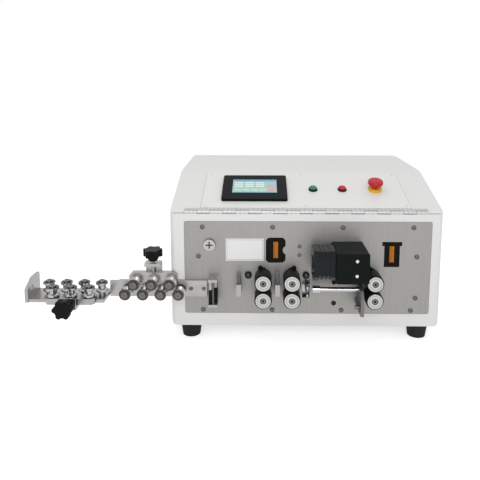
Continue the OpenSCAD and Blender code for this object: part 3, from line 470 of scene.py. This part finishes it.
# Scale windows: black plastic backs behind two openings in the plate. Each carries an orange
# scale strip with fine tick lines that shows the roller pressure.
dress(black_plastic, "scale_windows")
scale_orange = painted("orange scale strip", (0.50, 0.155, 0.006, 1),
                       roughness=0.4, grain=500, depth=0.03, shine=0.15)
tick_black = painted("black tick ink", (0.03, 0.025, 0.02, 1), roughness=0.5, grain=500, depth=0.02)
strip_w = 0.0088
strip_h = 0.0315
strip_t = 0.0004
ticks = 13
long_every = 4
long_tick = 0.6 * strip_w
short_tick = 0.35 * strip_w
tick_half = 0.00022
tick_span = 0.86 * strip_h
back_half = Vector((0.0225, 0, 0.0285))
strips = bmesh.new()
tick_lines = bmesh.new()
strip_y = (plate_low.y + plate_high.y) / 2
for centre in (Vector((windows_low.x, 0, windows_high.z)) + Vector((back_half.x, 0, -back_half.z)),
               Vector((windows_high.x, 0, windows_low.z)) + Vector((-back_half.x, 0, back_half.z))):
    slab(strips, (centre.x - strip_w / 2, strip_y - strip_t, centre.z - strip_h / 2),
         (centre.x + strip_w / 2, strip_y, centre.z + strip_h / 2))
    for tick in range(ticks):
        tick_z = centre.z + (tick / (ticks - 1) - 0.5) * tick_span
        tick_l = short_tick if tick % long_every else long_tick
        slab(tick_lines, (centre.x - strip_w / 2, strip_y - 1.4 * strip_t, tick_z - tick_half),
             (centre.x - strip_w / 2 + tick_l, strip_y - 0.5 * strip_t, tick_z + tick_half))
piece("scale_strips", strips, scale_orange, "chassis")
piece("scale_ticks", tick_lines, tick_black, "chassis")

# Entry guide: two ground steel rods between the lips of a milled bracket, screwed to the plate
# where the wire comes in from the straightener. Black plastic sleeves cover the rods' lower halves.
dress(milled_steel, "entry_guide")
entry_low, entry_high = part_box("entry_guide")
entry_mid_x = (entry_low.x + entry_high.x) / 2
wire_y = (conduit_low.y + conduit_high.y) / 2
rod_r = 0.003
stagger = 0.0045
lip_t = 0.005
sleeve_r = rod_r + 0.00035
sleeve_taper = 0.001
sleeves = bmesh.new()
for side in (-1, 1):
    on_rod = Matrix.Translation((entry_mid_x + side * stagger, wire_y + side * 2 * rod_r, 0))
    turned(sleeves, [(rod_r, entry_low.z + lip_t), (sleeve_r, entry_low.z + lip_t),
                     (sleeve_r, wire_z), (rod_r, wire_z + sleeve_taper)], on_rod)
piece("entry_sleeves", sleeves, black_plastic, "chassis")

# Plate lock: a chromed quarter-turn lock with a cross slot in its head, turned from brass. It
# holds the front plate shut against the tub.
# Painted shade: the cross slot, and all of the lock deeper than the head's front face, is coloured dark.
slot_depth = 0.0003
slot_shade = (0.03, 0.03, 0.03, 1)
lock_chrome = (0.42, 0.42, 0.427, 1)
lock_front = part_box("panel_lock")[0].y
two_tones("panel_lock", "Y", "GREATER_THAN", lock_front + slot_depth, slot_shade, lock_chrome)

# Straightener frame: milled steel bars bolted to the front plate, one upright for the first
# roller set and one lying flat for the second, with an inlet plate at the far end.
dress(milled_steel, "straightener_arm", "upright_bracket", "level_plate", "level_bracket", "inlet_plate",
      "upright_block", "level_block")
bar_low, bar_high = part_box("straightener_arm")
bar_t = 0.006
bar_screw_r = 0.0038
bar_screw_insets = (0.030, 0.006)
bar_mid_z = (bar_low.z + bar_high.z) / 2
bar_spots = [(bar_high.x - inset, bar_mid_z) for inset in bar_screw_insets]
screw_group("bar_screws", bar_spots, bar_high.y - bar_t, bar_screw_r, dull_zinc)

# Straightener rollers: grooved wheels of chromed steel on small ball bearings. Their faces
# show the dark bearing shield around the stud.
idler_chrome = (0.43, 0.43, 0.437, 1)
shield_brown = (0.068, 0.064, 0.060, 1)
shield_depth = 0.0008
idler_names = [name for name in frame["nodes"] if "idler" in name]
for name in idler_names:
    idler_low, idler_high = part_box(name)
    if name.startswith("upright"):
        face = ("Y", "LESS_THAN", idler_low.y + shield_depth)
    else:
        face = ("Z", "GREATER_THAN", idler_high.z - shield_depth)
    two_tones(name, *face, shield_brown, idler_chrome, inside_metal=1, roughness=0.13)

# Bearing covers: steel discs pressed on the rollers' studs, browned in the upright set and polished
# in the level set, each held by a small socket screw. The adjustable rows ride on their blocks.
stud_reach = 0.0024
cover_r = 0.0061
cover_back = -0.0012
cover_edge = 0.0002
cover_face = 0.0005
cover_profile = [(cover_r, cover_back), (cover_r, cover_edge),
                 (0.9 * cover_r, cover_face), (0.5 * cover_r, cover_face)]
cover_screw_r = 0.003
cover_screw_rise = 0.0012
cover_screw_seat = 0.0004
browned = metal_finish("browned bearing cover", (0.165, 0.15, 0.132, 1), roughness=0.34)
polished = metal_finish("polished bearing cover", (0.23, 0.233, 0.233, 1), roughness=0.16)
cover_rows = [("upright_idler_low", "chassis", browned), ("upright_idler_top", "upright_block", browned),
              ("level_idler_back", "chassis", polished), ("level_idler_front", "level_block", polished)]
for row, body, finish in cover_rows:
    covers = bmesh.new()
    cover_screws = bmesh.new()
    for name in idler_names:
        if not name.startswith(row):
            continue
        idler_low, idler_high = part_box(name)
        middle = (idler_low + idler_high) / 2
        if name.startswith("upright"):
            on_stud = Matrix.Translation((middle.x, idler_low.y - stud_reach, middle.z)) @ facing_front
        else:
            on_stud = Matrix.Translation((middle.x, middle.y, idler_high.z + stud_reach))
        turned(covers, cover_profile, on_stud)
        on_cover = on_stud @ Matrix.Translation((0, 0, cover_screw_seat))
        button_head(cover_screws, on_cover, cover_screw_r, cover_screw_rise)
    piece(row + "_covers", covers, finish, body)
    piece(row + "_cover_screws", cover_screws, dull_zinc, body)

# Adjusting knobs: moulded black six-lobed star knobs on steel screws, one on top of the upright
# set and one in front of the level set.
knob_black = (0.0045, 0.0045, 0.005, 1)
screw_steel = (0.34, 0.34, 0.34, 1)
screw_shown = 0.002
ledge_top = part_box("upright_bracket")[1].z
lug_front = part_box("level_bracket")[0].y
two_tones("upright_knob", "Z", "GREATER_THAN", ledge_top + screw_shown, knob_black, screw_steel)
two_tones("level_knob", "Y", "LESS_THAN", lug_front - screw_shown, knob_black, screw_steel)

# Hood and hinge: a folded and welded lid of white powder-coated sheet steel over the tub, on a
# long piano hinge of satin steel along the front fold.
dress(white_coat, "hood")
knuckle_step = 0.008
satin_steel = painted("satin hinge steel", (0.56, 0.56, 0.56, 1), roughness=0.36, grain=900, depth=0.05)
hinge_nodes, hinge_links = satin_steel.node_tree.nodes, satin_steel.node_tree.links
hinge_surface = hinge_nodes["Principled BSDF"]
hinge_surface.inputs["Metallic"].default_value = 0.55
hinge_place = hinge_nodes.new("ShaderNodeTexCoord")
hinge_axes = hinge_nodes.new("ShaderNodeSeparateXYZ")
knuckle = added(hinge_nodes, "Math", operation="PINGPONG")
knuckle.inputs[1].default_value = knuckle_step / 2
joint_line = hinge_nodes.new("ShaderNodeValToRGB")
joint_line.color_ramp.elements[0].color = (0.33, 0.33, 0.33, 1)
joint_line.color_ramp.elements[1].color = (0.56, 0.56, 0.56, 1)
joint_line.color_ramp.elements[1].position = 0.14
line_share = hinge_nodes.new("ShaderNodeMapRange")
line_share.inputs["From Max"].default_value = knuckle_step / 2
hinge_links.new(hinge_place.outputs["Object"], hinge_axes.inputs["Vector"])
hinge_links.new(hinge_axes.outputs["X"], knuckle.inputs[0])
hinge_links.new(knuckle.outputs["Value"], line_share.inputs["Value"])
hinge_links.new(line_share.outputs["Result"], joint_line.inputs["Fac"])
hinge_links.new(joint_line.outputs["Color"], hinge_surface.inputs["Base Color"])
dress(satin_steel, "hinge_fixed_leaf", "hinge_moving_leaf")

# Control panel: a separate painted sheet on the hood's slope, held by small button-head screws
# along its upper and lower edges. Thin grey strips around it are painted shade along its edges.
panel_coat = painted("panel powder coat", (0.82, 0.82, 0.81, 1), roughness=0.38, grain=1100, depth=0.08)
dress(panel_coat, "control_panel")
push = Vector(joints["start_button_push"]["axis"])
slope = math.atan2(push.y, -push.z)
fold_z = joints["hood_hinge"]["pos_m"][2]
case_mid_x = (case_low.x + case_high.x) / 2
on_slope = Matrix.Translation((case_mid_x, case_low.y, fold_z)) @ Matrix.Rotation(slope, 4, "X")
panel_t = 0.0012
panel_screw_r = 0.0027
panel_screw_rise = 0.0012
screw_half = 0.189
screw_rows = (0.0205, 0.1465)
panel_screws = bmesh.new()
for across in (-screw_half, 0, screw_half):
    for up in screw_rows:
        on_panel = on_slope @ Matrix.Translation((across, up, panel_t))
        button_head(panel_screws, on_panel, panel_screw_r, panel_screw_rise)
piece("control_panel_screws", panel_screws, bright_zinc, "hood")
panel_half = 0.198
panel_foot = 0.015
panel_head = 0.1525
# Painted shade: thin grey strips laid along all four edges of the panel.
shade_band = 0.0007
edge_shade_grey = painted("grey painted edge shade", (0.36, 0.36, 0.36, 1), roughness=0.6, grain=600, depth=0.1)
shade_strips = bmesh.new()
for left, foot, right, top in (
        (-panel_half - shade_band, panel_foot, -panel_half, panel_head),
        (panel_half, panel_foot, panel_half + shade_band, panel_head),
        (-panel_half, panel_head, panel_half, panel_head + shade_band),
        (-panel_half, panel_foot - shade_band, panel_half, panel_foot)):
    slab(shade_strips, (left, foot, 0), (right, top, shade_band), on_slope)
piece("panel_edge_shade", shade_strips, edge_shade_grey, "hood")

# Touch screen: a black moulded bezel, clipped into the control panel, with a sunken glass display.
# The display is lit and shows a plain layout of bars, fields and keys.
dress(black_plastic, "touch_screen")
display_mid = Vector((-0.097, 0.08877))
display_size = Vector((0.088, 0.054))
display_floor = 0.0062
display_t = 0.0003
layer_step = 0.00004
lit_parts = {
    "display_ground": ((0.30, 0.47, 0.50, 1), [(0, 0, 1, 1)]),
    "display_bars": ((0.10, 0.33, 0.48, 1), [(0.02, 0.86, 0.98, 0.97), (0.02, 0.03, 0.98, 0.06)]),
    "display_fields": ((0.56, 0.68, 0.64, 1), [
        (0.04 + 0.24 * column, 0.42 + 0.14 * row, 0.24 + 0.24 * column, 0.52 + 0.14 * row)
        for column in range(3) for row in range(3)]),
    "display_keys": ((0.40, 0.60, 0.48, 1), [
        (0.04 + 0.19 * column, 0.12, 0.20 + 0.19 * column, 0.32) for column in range(4)]),
    "display_side_keys": ((0.52, 0.34, 0.32, 1), [(0.80, 0.12, 0.96, 0.32), (0.80, 0.44, 0.96, 0.60)]),
}
for level, (lit_name, (lit_colour, fields)) in enumerate(lit_parts.items()):
    glow = painted("lit_" + lit_name, lit_colour, roughness=0.12, grain=200, depth=0)
    lamp = glow.node_tree.nodes["Principled BSDF"]
    lamp.inputs["Emission Color"].default_value = lit_colour
    lamp.inputs["Emission Strength"].default_value = 0.25
    cells = bmesh.new()
    start = display_mid - display_size / 2
    cell_top = display_floor + display_t + layer_step * level
    for left, bottom, right, top in fields:
        slab(cells, (start.x + left * display_size.x, start.y + bottom * display_size.y, display_floor),
             (start.x + right * display_size.x, start.y + top * display_size.y, cell_top), on_slope)
    piece(lit_name, cells, glow, "hood")

# Push buttons and stop head: glossy moulded caps in black rings, a green one and a red one, and
# a red mushroom head on a yellow collar.
gloss_green = painted("glossy green cap", (0.005, 0.20, 0.085, 1), roughness=0.22, grain=300, depth=0.02)
gloss_red = painted("glossy red cap", (0.50, 0.008, 0.018, 1),
                    roughness=0.20, grain=300, depth=0.02, shine=0.3)
gloss_yellow = painted("glossy yellow collar", (0.70, 0.42, 0.01, 1),
                       roughness=0.28, grain=300, depth=0.02)
dress(black_plastic, "button_rings")
dress(gloss_green, "start_button")
dress(gloss_red, "stop_button", "emergency_stop")
dress(gloss_yellow, "stop_collar")

# Studio: a pale seamless floor that reads as white to the camera and in the metal and keeps the
# shadow, a broad soft light overhead, a second one in front, and the camera at the photograph's place.
floor_reach = 30
floor_lift = 0.56
room_level = 0.58
camera_pitch = math.radians(8)
camera_yaw = math.radians(0.8)


def seen_ray(nodes, links):
    ray = nodes.new("ShaderNodeLightPath")
    direct = added(nodes, "Math", operation="MAXIMUM")
    mirrored = added(nodes, "Math", operation="MAXIMUM")
    links.new(ray.outputs["Is Camera Ray"], direct.inputs[0])
    links.new(ray.outputs["Is Transmission Ray"], direct.inputs[1])
    links.new(direct.outputs["Value"], mirrored.inputs[0])
    links.new(ray.outputs["Is Glossy Ray"], mirrored.inputs[1])
    return mirrored.outputs["Value"]


floor_mesh = bpy.data.meshes.new("floor")
floor_mesh.from_pydata([(-floor_reach, -floor_reach, 0), (floor_reach, -floor_reach, 0),
                        (floor_reach, floor_reach, 0), (-floor_reach, floor_reach, 0)], [], [(0, 1, 2, 3)])
floor_paint = painted("pale floor", (0.80, 0.80, 0.80, 1), roughness=0.9, grain=5, depth=0)
floor_nodes, floor_links = floor_paint.node_tree.nodes, floor_paint.node_tree.links
floor_surface = floor_nodes["Principled BSDF"]
floor_surface.inputs["Emission Color"].default_value = (1, 1, 1, 1)
floor_glow = added(floor_nodes, "Math", operation="MULTIPLY")
floor_glow.inputs[1].default_value = floor_lift
floor_links.new(seen_ray(floor_nodes, floor_links), floor_glow.inputs[0])
floor_links.new(floor_glow.outputs["Value"], floor_surface.inputs["Emission Strength"])
floor_mesh.materials.append(floor_paint)
floor = bpy.data.objects.new("floor", floor_mesh)
bpy.context.collection.objects.link(floor)


def softbox(name, place, aim, size, power):
    light = bpy.data.lights.new(name, "AREA")
    light.size = size
    light.energy = power
    lamp = bpy.data.objects.new(name, light)
    lamp.location = place
    lamp.rotation_euler = (Vector(aim) - Vector(place)).to_track_quat("-Z", "Y").to_euler()
    bpy.context.collection.objects.link(lamp)


softbox("overhead_softbox", (-0.3, -0.3, 2.0), (0, 0, 0.1), size=1.6, power=5)
softbox("front_fill", (0.15, -2.0, 1.1), (0.1, 0, 0.15), size=1.2, power=14.5)
room = bpy.data.worlds.new("studio")
room.use_nodes = True
room_nodes, room_links = room.node_tree.nodes, room.node_tree.links
ambient = room_nodes["Background"]
ambient.inputs["Color"].default_value = (1, 1, 1, 1)
brightness = room_nodes.new("ShaderNodeMapRange")
brightness.inputs["To Min"].default_value = room_level
brightness.inputs["To Max"].default_value = 1
room_links.new(seen_ray(room_nodes, room_links), brightness.inputs["Value"])
room_links.new(brightness.outputs["Result"], ambient.inputs["Strength"])
bpy.context.scene.world = room

eye = bpy.data.cameras.new("eye")
eye.sensor_width = 36
eye.lens = 39.41
eye.shift_x = -0.030
eye.shift_y = -0.1917
camera = bpy.data.objects.new("camera", eye)
camera.location = (0.0478, -1.0963, 0.5047)
camera.rotation_euler = (math.pi / 2 - camera_pitch, 0, camera_yaw)
bpy.context.collection.objects.link(camera)
bpy.context.scene.camera = camera
bpy.context.scene.view_settings.view_transform = "Standard"
